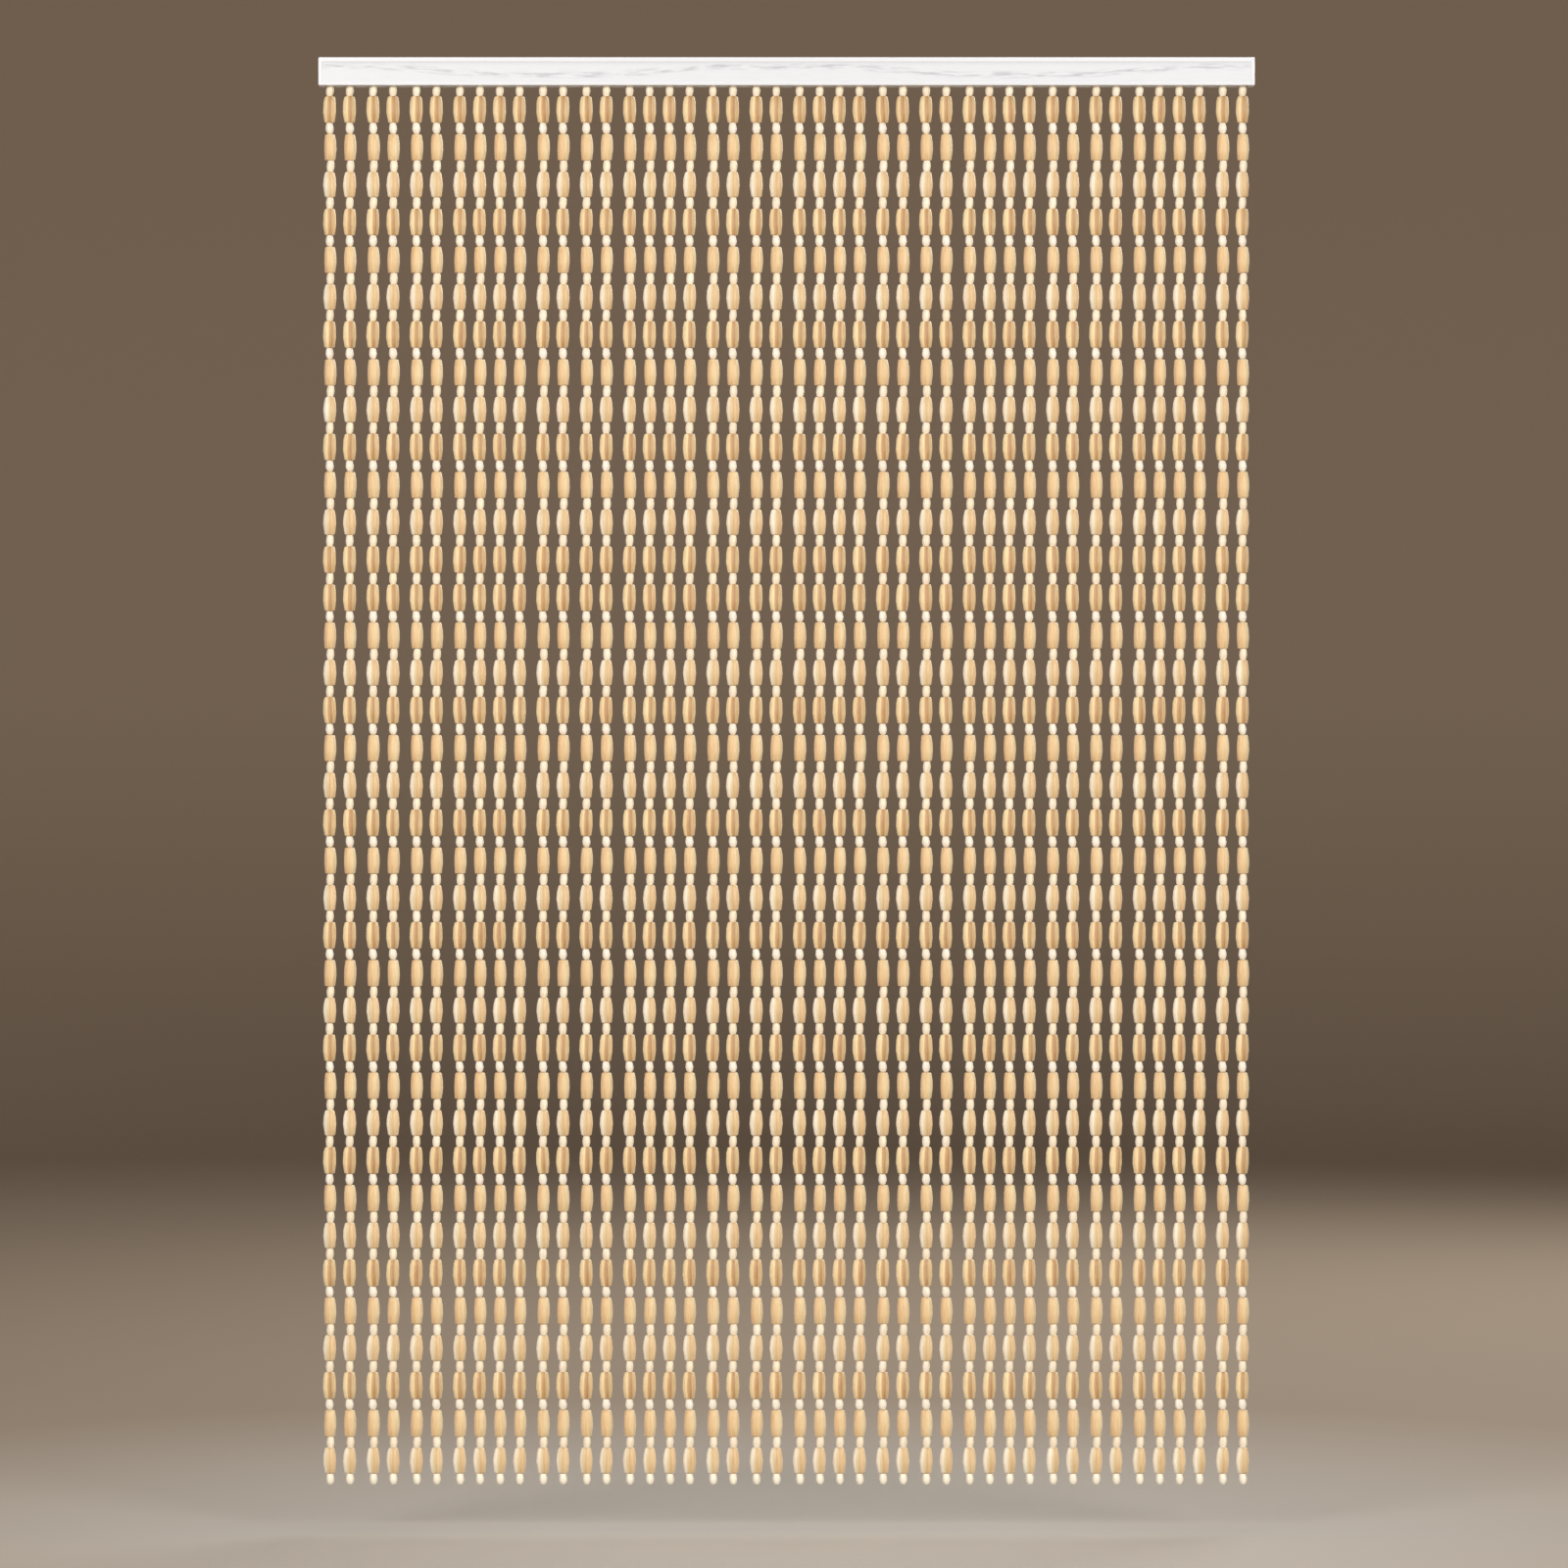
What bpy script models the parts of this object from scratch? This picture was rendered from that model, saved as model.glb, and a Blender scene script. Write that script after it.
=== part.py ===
"""A wooden bead curtain on its rail, in metres: 44 straight strings of beads that hang side by side.

The rail is a batten with a slightly sunk front face and a groove along its underside. Two header strips sit in
the groove, end to end, and each carries half of the strings. A string is a long three-sided solid that swells
at every large bead and narrows at every small one. The origin is the middle of the rail's top face, the
strings hang down -Z, and the front faces -Y.
"""

import bmesh
import bpy
from mathutils import Matrix, Vector

# The rail
RAIL_LENGTH = 1.200
RAIL_HEIGHT = 0.036
RAIL_DEPTH = 0.030
FACE_SINK = 0.0006  # the front face lies this far behind its border, past a sloping edge
FACE_BORDER = 0.0045  # mean width of that border
FACE_DROP = 0.0010  # the face sits lower than the middle, so the border is wider above it
GROOVE_WIDTH = 0.014
GROOVE_DEPTH = 0.012
GROOVE_END = 0.008  # solid wood left at each end of the groove

# The header strips, which lie against the groove's ceiling
STRIP_THICKNESS = 0.003
STRIP_COUNT = 2
FIT_GAP = 0.0003  # between pieces that touch

# The strings
STRINGS = 44
NARROW_GAP = 0.0256  # between the centres of neighbours
WIDE_GAP = 0.0300
GAP_ORDER = "NWNWNWNN"  # narrow and wide gaps, repeated along the rail
STRING_DROP = 1.794  # from the rail's underside to the lowest bead's end
FIRST_BEAD_SHOWN = 0.0126  # how much of the top small bead hangs below the rail
END_BEAD = 0.0146  # length of the lowest small bead
BEAD_ORDER = "ABC" * 4 + "A" + "ABC" * 8  # the sorts of large bead, from the top down

# Each sort of large bead: its length, half its width, and where it is widest as a share of its length
BEAD_SORTS = {
    "A": {"length": 0.0342, "half_width": 0.0085, "widest_at": 0.50},
    "B": {"length": 0.0336, "half_width": 0.0083, "widest_at": 0.50},
    "C": {"length": 0.0327, "half_width": 0.0086, "widest_at": 0.45},
}
SMALL_HALF_WIDTH = 0.0052
END_HALF_WIDTH = 0.0046  # at the very end of the lowest bead
ROOT_HALF_WIDTH = 0.0046  # where the string enters its strip
ROOT_DEPTH = 0.0015  # how deep it is sunk in the strip
SIDE_SETBACK = 0.6  # how far behind the centre the two side edges lie, as a share of the half width

# Colours as linear RGB, with roughness
WHITE_PAINT = {"color": (0.87, 0.87, 0.88), "roughness": 0.45}
PALE_WOOD = {"color": (0.83, 0.60, 0.33), "roughness": 0.50}

rail_bottom = -RAIL_HEIGHT
groove_ceiling = rail_bottom + GROOVE_DEPTH
groove_half_length = RAIL_LENGTH / 2 - GROOVE_END
strip_top = groove_ceiling - FIT_GAP
strip_bottom = strip_top - STRIP_THICKNESS
first_large_top = rail_bottom - FIRST_BEAD_SHOWN
string_end = rail_bottom - STRING_DROP
large_lengths = sum(BEAD_SORTS[sort]["length"] for sort in BEAD_ORDER)
small_bead = (first_large_top - large_lengths - END_BEAD - string_end) / (len(BEAD_ORDER) - 1)


def clear_scene():
    for obj in list(bpy.data.objects):
        bpy.data.objects.remove(obj)


def new_collection(name):
    made = bpy.data.collections.new(name)
    bpy.context.scene.collection.children.link(made)
    return made


def new_material(name, look):
    made = bpy.data.materials.new(name)
    made.use_nodes = True
    made.diffuse_color = (*look["color"], 1.0)
    shader = made.node_tree.nodes["Principled BSDF"]
    shader.inputs["Base Color"].default_value = (*look["color"], 1.0)
    shader.inputs["Roughness"].default_value = look["roughness"]
    shader.inputs["Metallic"].default_value = 0.0
    return made


def object_from(bm, name, collection, material=None):
    mesh = bpy.data.meshes.new(name)
    bm.to_mesh(mesh)
    bm.free()
    made = bpy.data.objects.new(name, mesh)
    if material:
        mesh.materials.append(material)
    collection.objects.link(made)
    return made


def box(low, high):
    """A bmesh box between two corners."""
    low = Vector(low)
    high = Vector(high)
    bm = bmesh.new()
    bmesh.ops.create_cube(bm, size=1.0)
    size = Matrix.Diagonal((*(high - low), 1.0))
    bm.transform(Matrix.Translation((low + high) / 2) @ size)
    return bm


def combine(target, other, operation):
    """Joins or cuts target with other, which then only helps and isn't part of the curtain."""
    modifier = target.modifiers.new(operation.lower(), "BOOLEAN")
    modifier.operation = operation
    modifier.object = other
    modifier.solver = "EXACT"
    other.hide_render = True
    other.display_type = "WIRE"


def make_rail(collection, helpers, material):
    """The batten: a box with a face sunk inside a border at its front, grooved from below."""
    bm = box(
        (-RAIL_LENGTH / 2, -RAIL_DEPTH / 2, rail_bottom),
        (RAIL_LENGTH / 2, RAIL_DEPTH / 2, 0.0),
    )
    face = min(bm.faces, key=lambda each: each.calc_center_median().y)
    bmesh.ops.inset_individual(bm, faces=[face], thickness=FACE_BORDER, use_even_offset=True)
    bmesh.ops.translate(bm, verts=face.verts, vec=(0.0, 0.0, -FACE_DROP))
    bmesh.ops.inset_individual(
        bm, faces=[face], thickness=FACE_SINK, depth=-FACE_SINK, use_even_offset=True
    )
    rail = object_from(bm, "rail", collection, material)

    groove = box(
        (-groove_half_length, -GROOVE_WIDTH / 2, rail_bottom - GROOVE_DEPTH),
        (groove_half_length, GROOVE_WIDTH / 2, groove_ceiling),
    )
    combine(rail, object_from(groove, "groove_cutter", helpers), "DIFFERENCE")


def string_places():
    """Where each string hangs along the rail, from left to right."""
    places = [0.0]
    for number in range(STRINGS - 1):
        narrow = GAP_ORDER[number % len(GAP_ORDER)] == "N"
        places.append(places[-1] + (NARROW_GAP if narrow else WIDE_GAP))
    middle = places[-1] / 2
    return [place - middle for place in places]


def string_sections():
    """The string's sections from top to bottom, each (height, half width, whether it has a front point)."""
    sections = [(strip_bottom + ROOT_DEPTH, ROOT_HALF_WIDTH, True)]
    top = first_large_top
    for sort in BEAD_ORDER:
        shape = BEAD_SORTS[sort]
        sections.append((top + small_bead / 2, SMALL_HALF_WIDTH, False))
        sections.append((top - shape["widest_at"] * shape["length"], shape["half_width"], True))
        top -= shape["length"] + small_bead
    sections.append((string_end + END_BEAD, SMALL_HALF_WIDTH, False))
    sections.append((string_end, END_HALF_WIDTH, True))
    return sections


def string_mesh():
    """One string, hanging at x = 0. Its front ridge runs straight from one large bead to the next, so a small
    bead's section borrows the front point of the section below it."""
    bm = bmesh.new()
    rings = []
    front = None
    for height, half_width, has_front in reversed(string_sections()):
        if has_front:
            front = bm.verts.new((0.0, -half_width, height))
        back = SIDE_SETBACK * half_width
        right = bm.verts.new((half_width, back, height))
        left = bm.verts.new((-half_width, back, height))
        rings.append((front, right, left))
    rings.reverse()

    bm.faces.new(rings[0])
    bm.faces.new(reversed(rings[-1]))
    for upper, lower in zip(rings, rings[1:]):
        for side in range(3):
            after = (side + 1) % 3
            corners = (upper[side], lower[side], lower[after], upper[after])
            bm.faces.new(tuple(dict.fromkeys(corners)))
    bmesh.ops.triangulate(bm, faces=bm.faces, quad_method="SHORT_EDGE")
    bmesh.ops.recalc_face_normals(bm, faces=bm.faces)
    mesh = bpy.data.meshes.new("string")
    bm.to_mesh(mesh)
    bm.free()
    return mesh


def hang_strings(places, name, helpers):
    """The strings of one header strip as one helper object."""
    single = string_mesh()
    bm = bmesh.new()
    for place in places:
        single.transform(Matrix.Translation((place, 0.0, 0.0)))
        bm.from_mesh(single)
        single.transform(Matrix.Translation((-place, 0.0, 0.0)))
    bpy.data.meshes.remove(single)
    return object_from(bm, name, helpers)


def make_strings(collection, helpers, material):
    """Each header strip with its share of the strings, fused at their roots."""
    places = string_places()
    share = STRINGS // STRIP_COUNT
    strip_length = 2 * (groove_half_length - FIT_GAP) / STRIP_COUNT
    for number, side in enumerate(("left", "right")):
        start = FIT_GAP - groove_half_length + number * strip_length
        strip = box(
            (start + number * FIT_GAP, FIT_GAP - GROOVE_WIDTH / 2, strip_bottom),
            (start + strip_length, GROOVE_WIDTH / 2 - FIT_GAP, strip_top),
        )
        header = object_from(strip, f"strings_{side}", collection, material)
        own = places[number * share : (number + 1) * share]
        combine(header, hang_strings(own, f"hanging_{side}", helpers), "UNION")


def main():
    clear_scene()
    curtain = new_collection("bead_curtain")
    helpers = new_collection("helpers")
    make_rail(curtain, helpers, new_material("white_paint", WHITE_PAINT))
    make_strings(curtain, helpers, new_material("pale_wood", PALE_WOOD))


main()
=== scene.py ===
# Looks of a wooden bead curtain on its rail, in metres, +Z up, with the front towards -Y.
# Every string is a thread with turned beads on it, and all of them hang from strips inside the rail.
import math
import random

import bmesh
import bpy
from mathutils import Matrix, Vector


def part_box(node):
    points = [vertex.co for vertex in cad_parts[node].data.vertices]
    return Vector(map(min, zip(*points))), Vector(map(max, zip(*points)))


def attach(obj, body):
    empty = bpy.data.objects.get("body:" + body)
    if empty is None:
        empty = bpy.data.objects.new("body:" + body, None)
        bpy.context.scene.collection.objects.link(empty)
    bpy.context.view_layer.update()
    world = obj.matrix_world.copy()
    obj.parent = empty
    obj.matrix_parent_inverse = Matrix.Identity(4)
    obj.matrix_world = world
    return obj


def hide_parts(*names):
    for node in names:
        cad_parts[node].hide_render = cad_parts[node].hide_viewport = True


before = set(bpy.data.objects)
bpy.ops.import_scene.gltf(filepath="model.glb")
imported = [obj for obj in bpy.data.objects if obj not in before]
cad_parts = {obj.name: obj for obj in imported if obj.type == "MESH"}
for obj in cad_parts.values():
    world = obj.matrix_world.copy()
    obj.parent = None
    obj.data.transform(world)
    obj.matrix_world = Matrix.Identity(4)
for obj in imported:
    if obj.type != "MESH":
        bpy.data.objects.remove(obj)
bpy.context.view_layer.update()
railLow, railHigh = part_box("rail")
leftLow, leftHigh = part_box("strings_left")
rightLow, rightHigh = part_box("strings_right")
millimetre = 0.001

# How the strings hang, as in the solids
layout = {
    "strings": 44,
    "narrowGap": 0.0256,  # between the centres of neighbours
    "wideGap": 0.0300,
    "gapOrder": "NWNWNWNN",
    "beadOrder": "ABC" * 4 + "A" + "ABC" * 8,  # large beads from the top down
    "lengths": {"A": 0.0342, "B": 0.0336, "C": 0.0327},  # of the large beads
    "endBead": 0.0146,
    "firstBeadShown": 0.0126,  # part of the top small bead that hangs below the rail
    "slack": 0.0001,  # left free at both ends of a bead
    "stripThickness": 0.003,
    "stripWidth": 0.0134,
}


def stringPlaces():
    # Where each string hangs along the rail, from left to right
    order = layout["gapOrder"]
    places = [0.0]
    for number in range(layout["strings"] - 1):
        narrow = order[number % len(order)] == "N"
        places.append(places[-1] + (layout["narrowGap"] if narrow else layout["wideGap"]))
    return [place - places[-1] / 2 for place in places]


places = stringPlaces()
stringEnd = leftLow.z
firstLargeTop = railLow.z - layout["firstBeadShown"]
largeLengths = sum(layout["lengths"][sort] for sort in layout["beadOrder"])
smallRoom = firstLargeTop - largeLengths - layout["endBead"] - stringEnd
smallBead = smallRoom / (len(layout["beadOrder"]) - 1)


def largeTops(sort):
    # The heights of the tops of one sort of large bead
    tops = []
    top = firstLargeTop
    for kind in layout["beadOrder"]:
        if kind == sort:
            tops.append(top)
        top -= layout["lengths"][kind] + smallBead
    return tops


# Materials


def linearColor(hexText):
    # From a picture's colour values to the linear ones that shaders take, with full alpha
    channels = [int(hexText[at : at + 2], 16) / 255 for at in (1, 3, 5)]
    return [c / 12.92 if c <= 0.04045 else ((c + 0.055) / 1.055) ** 2.4 for c in channels] + [1.0]


def startMaterial(name):
    material = bpy.data.materials.new(name)
    material.use_nodes = True
    return material, material.node_tree, material.node_tree.nodes["Principled BSDF"]


def addNode(tree, kind, inputs, **settings):
    node = tree.nodes.new(kind)
    for name, value in settings.items():
        setattr(node, name, value)
    for name, value in inputs.items():
        if isinstance(value, bpy.types.NodeSocket):
            tree.links.new(value, node.inputs[name])
        else:
            node.inputs[name].default_value = value
    return node


def stretched(tree, vector, scale):
    return addNode(tree, "ShaderNodeMapping", {"Vector": vector, "Scale": scale}).outputs["Vector"]


def noise(tree, vector, scale, detail=2.0, roughness=0.6):
    inputs = {"Vector": vector, "Scale": scale, "Detail": detail, "Roughness": roughness}
    return addNode(tree, "ShaderNodeTexNoise", inputs).outputs["Fac"]


def remap(tree, value, fromMin, fromMax, toMin, toMax):
    inputs = {
        "Value": value,
        "From Min": fromMin,
        "From Max": fromMax,
        "To Min": toMin,
        "To Max": toMax,
    }
    return addNode(tree, "ShaderNodeMapRange", inputs).outputs["Result"]


def sums(tree, operation, first, second):
    return addNode(tree, "ShaderNodeMath", {0: first, 1: second}, operation=operation).outputs[0]


def tint(tree, factor, first, second, blend="MIX"):
    inputs = {0: factor, 6: first, 7: second}
    return addNode(tree, "ShaderNodeMix", inputs, data_type="RGBA", blend_type=blend).outputs[2]


def addRelief(tree, shader, height, strength, depth):
    bump = addNode(tree, "ShaderNodeBump", {"Height": height, "Strength": strength, "Distance": depth})
    tree.links.new(bump.outputs["Normal"], shader.inputs["Normal"])


def bandRamp(tree, factor, grainAndPaintedLight):
    node = addNode(tree, "ShaderNodeValToRGB", {"Fac": factor})
    ramp = node.color_ramp
    ramp.interpolation = "EASE"
    while len(ramp.elements) < len(grainAndPaintedLight):
        ramp.elements.new(0.5)
    for element, (place, color) in zip(ramp.elements, grainAndPaintedLight):
        element.position = place
        element.color = linearColor(color)
    return node.outputs["Color"]


# What all the wood has in common. A scale is how fine a pattern is, and "Drawn" how little it changes
# down the bead. A range is the part of the pattern that counts.
wood = {
    "waverScale": 130,
    "waverDrawn": 0.2,
    "waverRange": (0.3, 0.7),
    "streakScale": 420,
    "streakDrawn": 0.07,
    "streakRange": (0.45, 0.75),
    "fibreScale": 1500,
    "fibreDrawn": 0.05,
    "fibreDetail": 3.0,
    "fibreRange": (0.35, 0.75),
    "toneScale": 14,
    "toneRange": (0.35, 0.65),
    "roughRange": (0.3, 0.7),
    "smoother": 0.05,  # at most, than the roughness of the look
    "rougher": 0.08,
    "relief": 0.25,
    "reliefDepth": 0.0003,
    "sheen": 0.25,  # the bloom of sanded wood
    "sheenRoughness": 0.4,
}


def turnedWood(name, look):
    # The grain runs down the bead, in broad bands from left to right that bend with its outline. The
    # bands' colours are partly painted light: they are paler towards the bead's edges, most of all on
    # the right, as painted highlights.
    material, tree, shader = startMaterial(name)
    cut = addNode(tree, "ShaderNodeAttribute", {}, attribute_name="cut").outputs["Vector"]
    waver = noise(tree, stretched(tree, cut, (1, 1, wood["waverDrawn"])), wood["waverScale"])
    shift = remap(tree, waver, *wood["waverRange"], -look["waver"], look["waver"])
    girth = addNode(tree, "ShaderNodeAttribute", {}, attribute_name="girth").outputs["Fac"]
    sideways = addNode(tree, "ShaderNodeSeparateXYZ", {"Vector": cut}).outputs["X"]
    bent = sums(tree, "DIVIDE", sideways, sums(tree, "POWER", girth, look["bend"]))
    across = sums(tree, "ADD", bent, shift)
    place = remap(tree, across, -look["halfWidth"], look["halfWidth"], 0.0, 1.0)
    # The bands hold the grain and painted light: paler edges and a paler right side are painted
    # highlights
    color = bandRamp(tree, place, look["grainAndPaintedLight"])

    streaks = noise(tree, stretched(tree, cut, (1, 1, wood["streakDrawn"])), wood["streakScale"])
    streakFactor = remap(tree, streaks, *wood["streakRange"], 0.0, look["streaks"])
    color = tint(tree, streakFactor, color, linearColor(look["streakColor"]), "MULTIPLY")
    drawn = stretched(tree, cut, (1, 1, wood["fibreDrawn"]))
    fibres = noise(tree, drawn, wood["fibreScale"], wood["fibreDetail"])
    fibreFactor = remap(tree, fibres, *wood["fibreRange"], 0.0, look["fibres"])
    color = tint(tree, fibreFactor, color, linearColor(look["streakColor"]), "MULTIPLY")
    each = noise(tree, cut, wood["toneScale"], 0.0)  # no two cuts of wood have quite one tone
    toneFactor = remap(tree, each, *wood["toneRange"], 0.0, look["tone"])
    color = tint(tree, toneFactor, color, linearColor(look["toneColor"]), "MULTIPLY")
    tree.links.new(color, shader.inputs["Base Color"])

    smoothest = look["roughness"] - wood["smoother"]
    roughest = look["roughness"] + wood["rougher"]
    rough = remap(tree, fibres, *wood["roughRange"], smoothest, roughest)
    tree.links.new(rough, shader.inputs["Roughness"])
    addRelief(tree, shader, sums(tree, "ADD", fibres, streaks), wood["relief"], wood["reliefDepth"])
    shader.inputs["Sheen Weight"].default_value = wood["sheen"]
    shader.inputs["Sheen Roughness"].default_value = wood["sheenRoughness"]
    return material


# What the shapes share

roundSharpAngle = 65  # degrees: a turned piece is smoothed over edges that are less sharp than this
blockSharpAngle = 30


def spinRound(bm, outline, steps, weldWithin):
    bmesh.ops.spin(
        bm,
        geom=outline,
        axis=(0, 0, 1),
        cent=(0, 0, 0),
        angle=math.tau,
        steps=steps,
        use_merge=True,
    )
    bmesh.ops.remove_doubles(bm, verts=bm.verts, dist=weldWithin)
    bmesh.ops.recalc_face_normals(bm, faces=bm.faces)


def roundedBlock(middle, size, rounding, segments):
    bm = bmesh.new()
    shape = Matrix.Translation(middle) @ Matrix.Diagonal((*size, 1.0))
    bmesh.ops.create_cube(bm, size=1.0, matrix=shape)
    bmesh.ops.bevel(
        bm,
        geom=bm.edges[:],
        offset=rounding,
        segments=segments,
        profile=0.5,
        affect="EDGES",
        material=-1,
    )
    return bm


def meshFrom(bm, name):
    mesh = bpy.data.meshes.new(name)
    bm.to_mesh(mesh)
    bm.free()
    return mesh


def finishPiece(bm, name, material, sharpAngle):
    mesh = meshFrom(bm, name)
    mesh.materials.append(material)
    mesh.shade_smooth()
    mesh.set_sharp_from_angle(angle=math.radians(sharpAngle))
    piece = bpy.data.objects.new(name, mesh)
    bpy.context.scene.collection.objects.link(piece)
    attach(piece, "root")
    return piece


# Beads

grid = 4  # the bead's cuts of wood lie in this many rows and columns of its map
mapMargin = 0.04  # left free round each cut's cell
boreRoom = 1.08  # the cell's height over the outline's length, as the bore has a narrow strip of it
cutsApart = (0.11, 0.13)  # metres between the cuts in their plank, by column and by row
leastGirth = 0.5  # the bands bend no further at the bead's ends
beadWeld = 0.00001


def beadMesh(bead, length, cutNumber):
    # One bead centred on the origin: a profile spun round the bore, with the grain of its own cut
    bm = bmesh.new()
    cut = bm.verts.layers.float_vector.new("cut")
    girth = bm.verts.layers.float.new("girth")
    station = bm.verts.layers.float.new("station")
    bore = bead["bore"]
    outline = [(0.0, bore)] + bead["profile"] + [(1.0, bore)]
    widest = max(halfWidth for share, halfWidth in outline)
    run = 0.0
    verts = []
    for number, (share, halfWidth) in enumerate(outline):
        point = Vector((halfWidth, 0.0, (0.5 - share) * length / millimetre))
        run += (point - last).length if number else 0.0
        last = point
        vert = bm.verts.new(point * millimetre)
        vert[station] = run
        vert[girth] = max(halfWidth / widest, leastGirth)
        verts.append(vert)
    edges = [bm.edges.new(pair) for pair in zip(verts, verts[1:] + verts[:1])]
    spinRound(bm, verts + edges, bead["sides"], beadWeld)

    column = cutNumber % grid
    row = cutNumber // grid
    apart = Vector((0.0, column * cutsApart[0], row * cutsApart[1]))
    for vert in bm.verts:
        vert[cut] = vert.co + apart
    fullRun = run * boreRoom
    uv = bm.loops.layers.uv.new("OFBake")
    for face in bm.faces:
        middle = face.calc_center_median()
        turn = math.atan2(middle.y, middle.x) % math.tau
        stations = [vert[station] for vert in face.verts]
        # Only the bore's faces join the outline's two ends
        inBore = max(stations) - min(stations) > run / 2
        for loop in face.loops:
            around = math.atan2(loop.vert.co.y, loop.vert.co.x) - turn
            around = (around + math.pi) % math.tau - math.pi
            down = loop.vert[station]
            if inBore and down == 0.0:
                down = fullRun
            u = mapMargin + (1 - 2 * mapMargin) * (turn + around) / math.tau
            v = mapMargin + (1 - 2 * mapMargin) * down / fullRun
            loop[uv].uv = ((column + u) / grid, (row + v) / grid)
    for vert in bm.verts:
        vert.co.x += bead["bow"] * (1 - (2 * vert.co.z / length) ** 2)
    return meshFrom(bm, "bead")


def threadBeads(bead, space, spots):
    # Copies of one sort of bead on every string, joined
    # Each spot on a string is the height of the bead's top and how far it lies aside
    dice = random.Random(bead["seed"])
    length = space - 2 * layout["slack"]
    cuts = [beadMesh(bead, length, number) for number in range(grid * grid)]
    bm = bmesh.new()
    for place in places:
        for top, aside in spots:
            centre = Vector((place + aside, 0.0, top - space / 2))
            centre.x += dice.uniform(-1, 1) * bead["loose"]
            centre.y += dice.uniform(-1, 1) * bead["loose"]
            tilt = Matrix.Rotation(-bead["tilt"] + dice.gauss(0, bead["tiltSpread"]), 4, "Y")
            nod = Matrix.Rotation(dice.gauss(0, bead["tiltSpread"]), 4, "X")
            turn = Matrix.Rotation(dice.gauss(0, bead["turnSpread"]), 4, "Z")
            mesh = dice.choice(cuts).copy()
            mesh.transform(Matrix.Translation(centre) @ nod @ tilt @ turn)
            bm.from_mesh(mesh)
            bpy.data.meshes.remove(mesh)
    for mesh in cuts:
        bpy.data.meshes.remove(mesh)
    material = turnedWood(bead["name"] + "_wood", bead["look"])
    piece = finishPiece(bm, bead["name"], material, roundSharpAngle)
    print(bead["name"], len(places) * len(spots), "beads,", len(piece.data.polygons), "faces")
    return piece


# Barrels with a dark band of heartwood just right of the middle
# A profile gives radii in mm at shares of the length from the top, and the bore is a radius in mm too
stripedBeads = {
    "name": "beads_striped",
    "slot": "bead_wood",
    "bore": 1.5,
    "profile": [(0.0, 5.5), (0.035, 6.75), (0.22, 8.0), (0.6, 8.45), (0.96, 6.7), (1.0, 5.2)],
    "sides": 10,
    "aside": -0.0006,
    "bow": -0.0004,  # how far its middle leans aside from its ends
    "loose": 0.0002,  # how far each one may lie off its place
    "tilt": 0.0,
    "tiltSpread": math.radians(0.6),
    "turnSpread": math.radians(4),
    "seed": 11,
    "look": {
        "halfWidth": 0.009,  # the bands, given by their places from left to right, span twice this
        "bend": 0.8,  # how closely they follow the outline
        "waver": 0.0004,  # how far they wander
        # Grain and painted light: the dark heartwood stripe is the wood's own, the pale left third and
        # right edge are painted highlights
        "grainAndPaintedLight": [
            (0.0, "#f7ecca"),
            (0.33, "#f3dfac"),
            (0.45, "#c8a475"),
            (0.64, "#b49264"),
            (0.76, "#dac294"),
            (1.0, "#f9e4b0"),
        ],
        "streaks": 0.3,
        "fibres": 0.22,
        "streakColor": "#c99a6c",
        "tone": 0.22,  # how far the cuts of wood differ
        "toneColor": "#f0c9a8",
        "roughness": 0.5,
    },
}
stripedSpots = [(top, stripedBeads["aside"]) for top in largeTops("A")]
striped = threadBeads(stripedBeads, layout["lengths"]["A"], stripedSpots)

# Blunter and slimmer beads of one warm tone
bluntBeads = {
    "name": "beads_blunt",
    "slot": "bead_wood",
    "bore": 1.5,
    "profile": [(0.0, 5.3), (0.035, 6.4), (0.3, 7.65), (0.6, 7.9), (0.97, 6.85), (1.0, 5.6)],
    "sides": 10,
    "aside": -0.0003,
    "bow": 0.0004,
    "loose": 0.0002,
    "tilt": 0.0,
    "tiltSpread": math.radians(0.6),
    "turnSpread": math.radians(4),
    "seed": 12,
    "look": {
        "halfWidth": 0.0085,
        "bend": 0.6,
        "waver": 0.0004,
        # Grain and painted light: the pale right edge is a painted highlight
        "grainAndPaintedLight": [
            (0.0, "#e5cfb1"),
            (0.25, "#e4c89a"),
            (0.42, "#e1c492"),
            (0.58, "#e2ca9b"),
            (0.8, "#ead9af"),
            (1.0, "#f8ecc4"),
        ],
        "streaks": 0.35,
        "fibres": 0.25,
        "streakColor": "#d0a878",
        "tone": 0.22,
        "toneColor": "#f3cfae",
        "roughness": 0.5,
    },
}
bluntSpots = [(top, bluntBeads["aside"]) for top in largeTops("B")]
blunt = threadBeads(bluntBeads, layout["lengths"]["B"], bluntSpots)

# Slimmer at both ends, with a painted highlight down the left side
lensBeads = {
    "name": "beads_lens",
    "slot": "bead_wood",
    "bore": 1.5,
    "profile": [(0.0, 5.2), (0.05, 6.4), (0.26, 7.85), (0.54, 8.5), (0.95, 6.8), (1.0, 5.2)],
    "sides": 10,
    "aside": -0.0004,
    "bow": -0.0003,
    "loose": 0.0002,
    "tilt": 0.0,
    "tiltSpread": math.radians(0.6),
    "turnSpread": math.radians(4),
    "seed": 13,
    "look": {
        "halfWidth": 0.009,
        "bend": 0.8,
        "waver": 0.0004,
        # Grain and painted light: the near-white left side and the pale right edge are painted
        # highlights
        "grainAndPaintedLight": [
            (0.0, "#f8f5e7"),
            (0.2, "#f9f4e3"),
            (0.37, "#decda6"),
            (0.56, "#d2b686"),
            (0.76, "#e5ca9c"),
            (1.0, "#f9e2b8"),
        ],
        "streaks": 0.25,
        "fibres": 0.2,
        "streakColor": "#d3ab7c",
        "tone": 0.2,
        "toneColor": "#f4d3b2",
        "roughness": 0.46,
    },
}
lensSpots = [(top, lensBeads["aside"]) for top in largeTops("C")]
lens = threadBeads(lensBeads, layout["lengths"]["C"], lensSpots)

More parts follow.
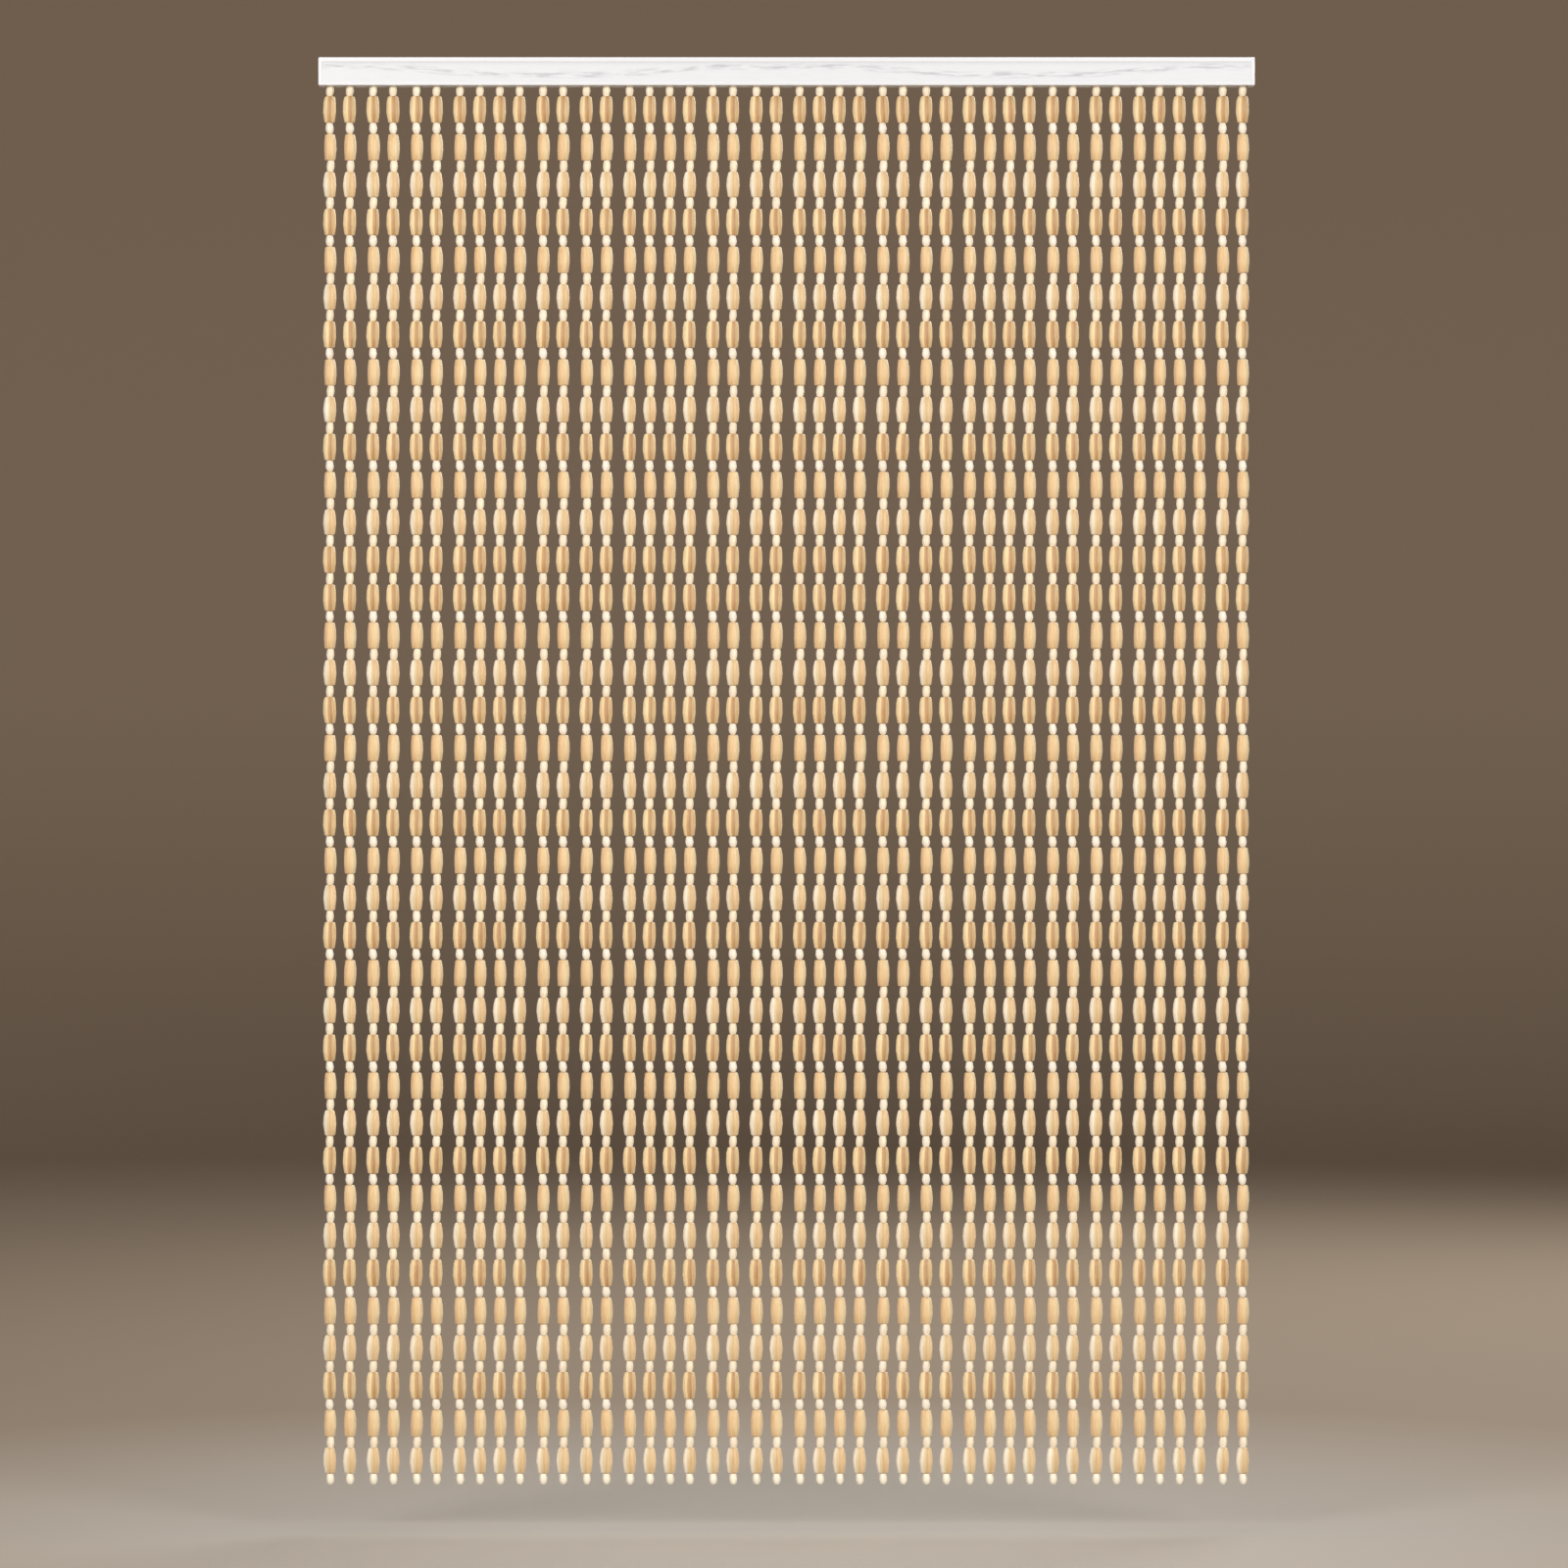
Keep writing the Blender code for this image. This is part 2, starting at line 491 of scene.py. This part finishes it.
# White small beads, one above each blunt bead: eggs with their small end down, tipped to the left
whiteRounds = {
    "name": "small_beads_white",
    "slot": "small_bead_white",
    "bore": 1.4,
    "profile": [(0.0, 3.6), (0.2, 4.6), (0.54, 5.4), (0.8, 4.4), (1.0, 2.5)],
    "sides": 8,
    "aside": -0.0007,
    "bow": 0.0,
    "loose": 0.0002,
    "tilt": math.radians(4),
    "tiltSpread": math.radians(1.5),
    "turnSpread": math.radians(10),
    "seed": 21,
    "look": {
        "halfWidth": 0.0056,
        "bend": 0.5,
        "waver": 0.0008,
        # The wood's pale tone, with painted highlights: both edges paler than the middle, the right
        # one most
        "grainAndPaintedLight": [(0.0, "#f6f3ec"), (0.45, "#ebe1cf"), (1.0, "#fdf9ec")],
        "streaks": 0.2,
        "fibres": 0.12,
        "streakColor": "#e2cfae",
        "tone": 0.2,
        "toneColor": "#f6e6cd",
        "roughness": 0.42,
    },
}
whiteSpots = [(top + smallBead, whiteRounds["aside"]) for top in largeTops("B")]
whites = threadBeads(whiteRounds, smallBead, whiteSpots)

# Cream small beads, one above each of the other large beads
creamRounds = {
    "name": "small_beads_cream",
    "slot": "small_bead_cream",
    "bore": 1.4,
    "profile": [(0.0, 3.75), (0.2, 4.7), (0.52, 5.2), (0.8, 4.65), (1.0, 3.45)],
    "sides": 8,
    "asideAbove": {"A": -0.0006, "C": 0.0002},  # those above the striped beads, and above the lenses
    "bow": 0.0,
    "loose": 0.0002,
    "tilt": math.radians(-1.5),
    "tiltSpread": math.radians(1.5),
    "turnSpread": math.radians(10),
    "seed": 22,
    "look": {
        "halfWidth": 0.0052,
        "bend": 0.5,
        "waver": 0.0008,
        # The wood's cream tone, with painted highlights: paler edges than the middle, the right one
        # most
        "grainAndPaintedLight": [(0.0, "#f1eadf"), (0.45, "#ebe1cc"), (1.0, "#fdf6dc")],
        "streaks": 0.25,
        "fibres": 0.15,
        "streakColor": "#dcc190",
        "tone": 0.25,
        "toneColor": "#f2d7b0",
        "roughness": 0.45,
    },
}
creamSpots = [
    (top + smallBead, aside)
    for sort, aside in creamRounds["asideAbove"].items()
    for top in largeTops(sort)
]
creams = threadBeads(creamRounds, smallBead, creamSpots)

# The white bead at each string's end, round at its tip
endRounds = {
    "name": "end_beads",
    "slot": "small_bead_white",
    "bore": 1.4,
    "profile": [
        (0.0, 3.7),
        (0.1, 4.35),
        (0.4, 5.15),
        (0.64, 5.1),
        (0.83, 4.15),
        (0.94, 3.1),
        (1.0, 2.0),
    ],
    "sides": 10,
    "aside": -0.0001,
    "bow": 0.0,
    "loose": 0.0002,
    "tilt": math.radians(3.5),
    "tiltSpread": math.radians(1.2),
    "turnSpread": math.radians(10),
    "seed": 23,
    "look": {
        **whiteRounds["look"],
        # The wood's white tone, with a painted highlight on the right edge
        "grainAndPaintedLight": [(0.0, "#ebe5d6"), (0.45, "#f0ebd8"), (1.0, "#fcf4e0")],
    },
}
endSpots = [(stringEnd + layout["endBead"], endRounds["aside"])]
ends = threadBeads(endRounds, layout["endBead"], endSpots)


# Threads

thread = {
    "name": "threads",
    "slot": "bead_string",
    "radius": 0.0008,
    "sides": 8,
    "knotRadius": 0.0013,  # the knot sits in the end bead's hole
    "color": "#e9dfc8",
    "shade": "#bfae8c",
    "shadeShare": 0.8,  # at most
    "fuzzScale": 1800,
    "fuzzDrawn": 0.3,
    "fuzzRange": (0.35, 0.7),
    "roughness": 0.8,
    "relief": 0.4,
    "reliefDepth": 0.0003,
}


def spunCotton():
    material, tree, shader = startMaterial("thread_cotton")
    place = addNode(tree, "ShaderNodeTexCoord", {}).outputs["Object"]
    fuzz = noise(tree, stretched(tree, place, (1, 1, thread["fuzzDrawn"])), thread["fuzzScale"])
    factor = remap(tree, fuzz, *thread["fuzzRange"], 0.0, thread["shadeShare"])
    color = tint(tree, factor, linearColor(thread["color"]), linearColor(thread["shade"]))
    tree.links.new(color, shader.inputs["Base Color"])
    shader.inputs["Roughness"].default_value = thread["roughness"]
    addRelief(tree, shader, fuzz, thread["relief"], thread["reliefDepth"])
    return material


def makeThreads():
    # A thread runs from its strip through all its beads to a knot at its end
    bm = bmesh.new()
    top = leftHigh.z - layout["stripThickness"]
    bottom = stringEnd + thread["knotRadius"]
    for place in places:
        bmesh.ops.create_cone(
            bm,
            segments=thread["sides"],
            radius1=thread["radius"],
            radius2=thread["radius"],
            depth=top - bottom,
            cap_ends=True,
            matrix=Matrix.Translation((place, 0.0, (top + bottom) / 2)),
        )
        knot = Matrix.Translation((place, 0.0, bottom))
        bmesh.ops.create_icosphere(bm, subdivisions=1, radius=thread["knotRadius"], matrix=knot)
    return finishPiece(bm, thread["name"], spunCotton(), roundSharpAngle)


threads = makeThreads()
print("threads", len(places))

for piece in (striped, blunt, lens, whites, creams, ends, threads):
    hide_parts("strings_left", "strings_right")


# Header strips inside the rail, which hold the threads

strip = {
    "edgeRound": 0.0004,
    "edgeSteps": 2,
    "color": "#dedcd6",
    "shade": "#b9b6ac",
    "shadeShare": 0.12,  # at most
    "mottleScale": 260,
    "mottleDetail": 3.0,
    "mottleRange": (0.3, 0.7),
    "roughness": 0.4,
    "rougher": 0.12,
}


def stripPlastic():
    material, tree, shader = startMaterial("strip_plastic")
    place = addNode(tree, "ShaderNodeTexCoord", {}).outputs["Object"]
    mottle = noise(tree, place, strip["mottleScale"], strip["mottleDetail"])
    factor = remap(tree, mottle, *strip["mottleRange"], 0.0, strip["shadeShare"])
    color = tint(tree, factor, linearColor(strip["color"]), linearColor(strip["shade"]))
    tree.links.new(color, shader.inputs["Base Color"])
    roughest = strip["roughness"] + strip["rougher"]
    rough = remap(tree, mottle, *strip["mottleRange"], strip["roughness"], roughest)
    tree.links.new(rough, shader.inputs["Roughness"])
    return material


def makeStrip(name, node, low, high, material):
    size = Vector((high.x - low.x, layout["stripWidth"], layout["stripThickness"]))
    middle = Vector(((low.x + high.x) / 2, 0.0, high.z - layout["stripThickness"] / 2))
    bm = roundedBlock(middle, size, strip["edgeRound"], strip["edgeSteps"])
    piece = finishPiece(bm, name, material, blockSharpAngle)
    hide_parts(node)


plastic = stripPlastic()
makeStrip("header_left", "strings_left", leftLow, leftHigh, plastic)
makeStrip("header_right", "strings_right", rightLow, rightHigh, plastic)
print("header strips")


# Rail

rail = {
    "edgeRound": 0.0014,
    "edgeSteps": 3,
    "border": 0.0048,  # plain white, round the veined face
    "borderDrop": 0.0010,  # wider at the top than at the bottom
    "faceSink": 0.0006,  # the face lies this far behind its border
    "grooveWidth": 0.014,
    "grooveDepth": 0.012,
    "grooveEnd": 0.008,
    "grooveInset": 0.002,  # only parts the groove's mouth from the underside
    "white": "#dbdcde",
    "face": "#d8dadc",
    "faceReach": 0.002,  # the veined paint ends this far behind the front
    # The veins' grey, which also paints the shadow under the upper border
    "veinAndShadow": "#b6b8bd",
    "veinWave": 0.6,  # the veins rise and fall once in this length
    "veinSwing": 0.0055,
    "veinFlat": 0.7,  # part of the wave that isn't cut off flat at its top and bottom
    "veinLift": 0.002,
    "veinNear": 0.0015,  # full strength as near as this to their line
    "veinFar": 0.0055,  # and weakest from here
    "veinWeakest": 0.1,
    "veinDrawn": 0.08,
    "veinScale": 380,
    "veinDetail": 4.0,
    "veinRange": (0.45, 0.62),
    # Painted shadow: the face is greyer below its upper border, as if that border shaded it
    "paintedBorderShadow": 0.4,  # the face is greyer below its upper border
    "paintedBorderShadowDepth": 0.006,
    "brushScale": 900,
    "brushDrawn": 0.05,
    "brushRange": (0.3, 0.7),
    "roughness": 0.35,
    "smoother": 0.05,
    "rougher": 0.1,
    "relief": 0.08,
    "reliefDepth": 0.0002,
}


def veinedPaintAndShadow():
    # Fine grey veins drawn out along the rail, on a line that rises at both ends and in the middle,
    # and a painted shadow along the top of the face, below its upper border
    material, tree, shader = startMaterial("rail_white")
    place = addNode(tree, "ShaderNodeTexCoord", {}).outputs["Object"]
    split = addNode(tree, "ShaderNodeSeparateXYZ", {"Vector": place})
    along = split.outputs["X"]
    height = split.outputs["Z"]

    faceHigh = railHigh.z - rail["border"] - rail["borderDrop"]
    faceLow = railLow.z + rail["border"] - rail["borderDrop"]
    inHeight = sums(
        tree,
        "MULTIPLY",
        sums(tree, "LESS_THAN", height, faceHigh),
        sums(tree, "GREATER_THAN", height, faceLow),
    )
    fromMiddle = sums(tree, "ABSOLUTE", along, 0.0)
    inLength = sums(tree, "LESS_THAN", fromMiddle, railHigh.x - rail["border"])
    inFront = sums(tree, "LESS_THAN", split.outputs["Y"], railLow.y + rail["faceReach"])
    onFace = sums(tree, "MULTIPLY", sums(tree, "MULTIPLY", inHeight, inLength), inFront)

    swing = sums(tree, "COSINE", sums(tree, "MULTIPLY", along, math.tau / rail["veinWave"]), 0.0)
    flat = rail["veinFlat"]
    flatTopped = remap(tree, swing, -flat, flat, -rail["veinSwing"], rail["veinSwing"])
    line = sums(tree, "ADD", flatTopped, (faceHigh + faceLow) / 2 + rail["veinLift"])
    above = sums(tree, "SUBTRACT", height, line)
    offLine = sums(tree, "ABSOLUTE", above, 0.0)
    nearLine = remap(tree, offLine, rail["veinNear"], rail["veinFar"], 1.0, rail["veinWeakest"])
    drawnOut = sums(tree, "MULTIPLY", along, rail["veinDrawn"])
    grain = addNode(tree, "ShaderNodeCombineXYZ", {"X": drawnOut, "Z": above}).outputs["Vector"]
    streaks = noise(tree, grain, rail["veinScale"], rail["veinDetail"])
    veins = sums(tree, "MULTIPLY", remap(tree, streaks, *rail["veinRange"], 0.0, 1.0), nearLine)
    # A painted shadow along the top of the face, under its upper border, in the veins' grey
    paintedShadowLow = faceHigh - rail["paintedBorderShadowDepth"]
    paintedShadowUnderBorder = remap(tree, height, paintedShadowLow, faceHigh, 0.0, rail["paintedBorderShadow"])
    veinAndPaintedShadowFactor = sums(tree, "MULTIPLY", sums(tree, "MAXIMUM", veins, paintedShadowUnderBorder), onFace)

    color = tint(tree, onFace, linearColor(rail["white"]), linearColor(rail["face"]))
    color = tint(tree, veinAndPaintedShadowFactor, color, linearColor(rail["veinAndShadow"]))
    tree.links.new(color, shader.inputs["Base Color"])
    brushed = noise(tree, stretched(tree, place, (rail["brushDrawn"], 1, 1)), rail["brushScale"])
    smoothest = rail["roughness"] - rail["smoother"]
    roughest = rail["roughness"] + rail["rougher"]
    rough = remap(tree, brushed, *rail["brushRange"], smoothest, roughest)
    tree.links.new(rough, shader.inputs["Roughness"])
    addRelief(tree, shader, brushed, rail["relief"], rail["reliefDepth"])
    return material


def faceTowards(bm, direction):
    return max(bm.faces, key=lambda face: face.calc_center_median().dot(Vector(direction)))


def makeRail():
    middle = (railLow + railHigh) / 2
    bm = roundedBlock(middle, railHigh - railLow, rail["edgeRound"], rail["edgeSteps"])
    face = faceTowards(bm, (0, -1, 0))
    inset = rail["border"] - rail["edgeRound"] - rail["faceSink"] / 2
    bmesh.ops.inset_individual(bm, faces=[face], thickness=inset, depth=0, use_even_offset=True)
    bmesh.ops.translate(bm, verts=face.verts, vec=(0, 0, -rail["borderDrop"]))
    sink = rail["faceSink"]
    bmesh.ops.inset_individual(bm, faces=[face], thickness=sink, depth=-sink, use_even_offset=True)

    groove = faceTowards(bm, (0, 0, -1))
    inset = rail["grooveInset"]
    bmesh.ops.inset_individual(bm, faces=[groove], thickness=inset, depth=0, use_even_offset=True)
    for vert in groove.verts:
        vert.co.x = math.copysign(railHigh.x - rail["grooveEnd"], vert.co.x)
        vert.co.y = math.copysign(rail["grooveWidth"] / 2, vert.co.y)
    bmesh.ops.inset_individual(bm, faces=[groove], thickness=0, depth=-rail["grooveDepth"])
    piece = finishPiece(bm, "rail_white", veinedPaintAndShadow(), blockSharpAngle)
    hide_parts("rail")


makeRail()
print("rail")


# Stage: a plain round studio, its floor pale under the curtain and darker further out

studio = {
    "floorBelow": 0.060,  # under the lowest beads
    "floorRadius": 8.5,
    "sweepRadius": 3.0,  # the floor curves up into the wall
    "sweepSteps": 12,
    "wallHeight": 9.0,
    "sides": 96,
    "weldWithin": 0.0001,
    "paleWithin": 0.3,
    "darkFrom": 1.8,
    "wallFrom": 1.2,  # above the floor
    "floorColor": "#b8b2a9",
    "farColor": "#988774",
    "wallColor": "#b5a089",
    "roughness": 0.9,
}


def studioPaint():
    material, tree, shader = startMaterial("studio_paint")
    place = addNode(tree, "ShaderNodeTexCoord", {}).outputs["Object"]
    level = addNode(tree, "ShaderNodeVectorMath", {0: place, 1: (1, 1, 0)}, operation="MULTIPLY")
    out = addNode(tree, "ShaderNodeVectorMath", {0: level.outputs["Vector"]}, operation="LENGTH")
    fade = remap(tree, out.outputs["Value"], studio["paleWithin"], studio["darkFrom"], 0.0, 1.0)
    color = tint(tree, fade, linearColor(studio["floorColor"]), linearColor(studio["farColor"]))
    floor = stringEnd - studio["floorBelow"]
    height = addNode(tree, "ShaderNodeSeparateXYZ", {"Vector": place}).outputs["Z"]
    rise = remap(tree, height, floor, floor + studio["wallFrom"], 0.0, 1.0)
    color = tint(tree, rise, color, linearColor(studio["wallColor"]))
    tree.links.new(color, shader.inputs["Base Color"])
    shader.inputs["Roughness"].default_value = studio["roughness"]
    return material


def makeStudio():
    floor = stringEnd - studio["floorBelow"]
    outline = [(0.0, floor), (studio["floorRadius"], floor)]
    for step in range(1, studio["sweepSteps"] + 1):
        angle = math.radians(90 * step / studio["sweepSteps"])
        out = studio["floorRadius"] + studio["sweepRadius"] * math.sin(angle)
        outline.append((out, floor + studio["sweepRadius"] * (1 - math.cos(angle))))
    outline.append((outline[-1][0], floor + studio["wallHeight"]))
    bm = bmesh.new()
    verts = [bm.verts.new((radius, 0, height)) for radius, height in outline]
    edges = [bm.edges.new(pair) for pair in zip(verts, verts[1:])]
    spinRound(bm, verts + edges, studio["sides"], studio["weldWithin"])
    mesh = meshFrom(bm, "studio")
    mesh.shade_smooth()
    mesh.materials.append(studioPaint())
    room = bpy.data.objects.new("studio", mesh)
    bpy.context.scene.collection.objects.link(room)


makeStudio()
print("studio")


# Lights and camera

aim = Vector((0, 0, stringEnd))  # low, so that the strings are lit evenly from top to bottom

lamps = [  # soft boxes: where they hang, their size in metres, watts and colour
    {"name": "key", "at": (-3.2, -5.0, 0.5), "size": 2.2, "watts": 241, "color": "#ffffff"},
    {"name": "fill", "at": (3.4, -5.0, 0.4), "size": 2.4, "watts": 239, "color": "#fbfcff"},
    {"name": "back", "at": (2.5, 4.5, 1.8), "size": 3.0, "watts": 146, "color": "#ffffff"},
    {"name": "top", "at": (0.0, 0.0, 4.0), "size": 4.0, "watts": 88, "color": "#ffffff"},
]
glow = {"color": "#f2efea", "strength": 0.28}  # the even light from all round


def hangLamps():
    for lamp in lamps:
        light = bpy.data.lights.new(lamp["name"], "AREA")
        light.energy = lamp["watts"]
        light.size = lamp["size"]
        light.color = linearColor(lamp["color"])[:3]
        box = bpy.data.objects.new(lamp["name"], light)
        box.location = lamp["at"]
        box.rotation_euler = (aim - box.location).to_track_quat("-Z", "Y").to_euler()
        box.visible_camera = False
        bpy.context.scene.collection.objects.link(box)
    world = bpy.data.worlds.new("soft_room")
    world.use_nodes = True
    background = world.node_tree.nodes["Background"]
    background.inputs["Color"].default_value = linearColor(glow["color"])
    background.inputs["Strength"].default_value = glow["strength"]
    bpy.context.scene.world = world


view = {
    "picture": 1600.0,  # its width and height in pixels
    "railPixels": 955.1,  # the rail's length in it
    "railLeft": 325.1,
    "railTop": 58.95,
    "plane": -0.0075,  # where this scale is true: between the rail's front and the beads' middle
    "lens": 150.0,
    "sensor": 36.0,
    "reach": 60.0,  # how far the camera sees
}


def placeCamera():
    half = view["picture"] / 2
    perPixel = (railHigh.x - railLow.x) / view["railPixels"]
    camera = bpy.data.cameras.new("front")
    camera.lens = view["lens"]
    camera.sensor_width = view["sensor"]
    camera.clip_end = view["reach"]
    away = half * perPixel * camera.lens / (camera.sensor_width / 2)
    stand = bpy.data.objects.new("front", camera)
    stand.location = (
        railLow.x + (half - view["railLeft"]) * perPixel,
        view["plane"] - away,
        railHigh.z - (half - view["railTop"]) * perPixel,
    )
    stand.rotation_euler = (math.radians(90), 0, 0)
    bpy.context.scene.collection.objects.link(stand)
    bpy.context.scene.camera = stand


hangLamps()
placeCamera()
bpy.context.scene.view_settings.view_transform = "Standard"
bpy.context.scene.view_settings.look = "None"
print("lights and camera")
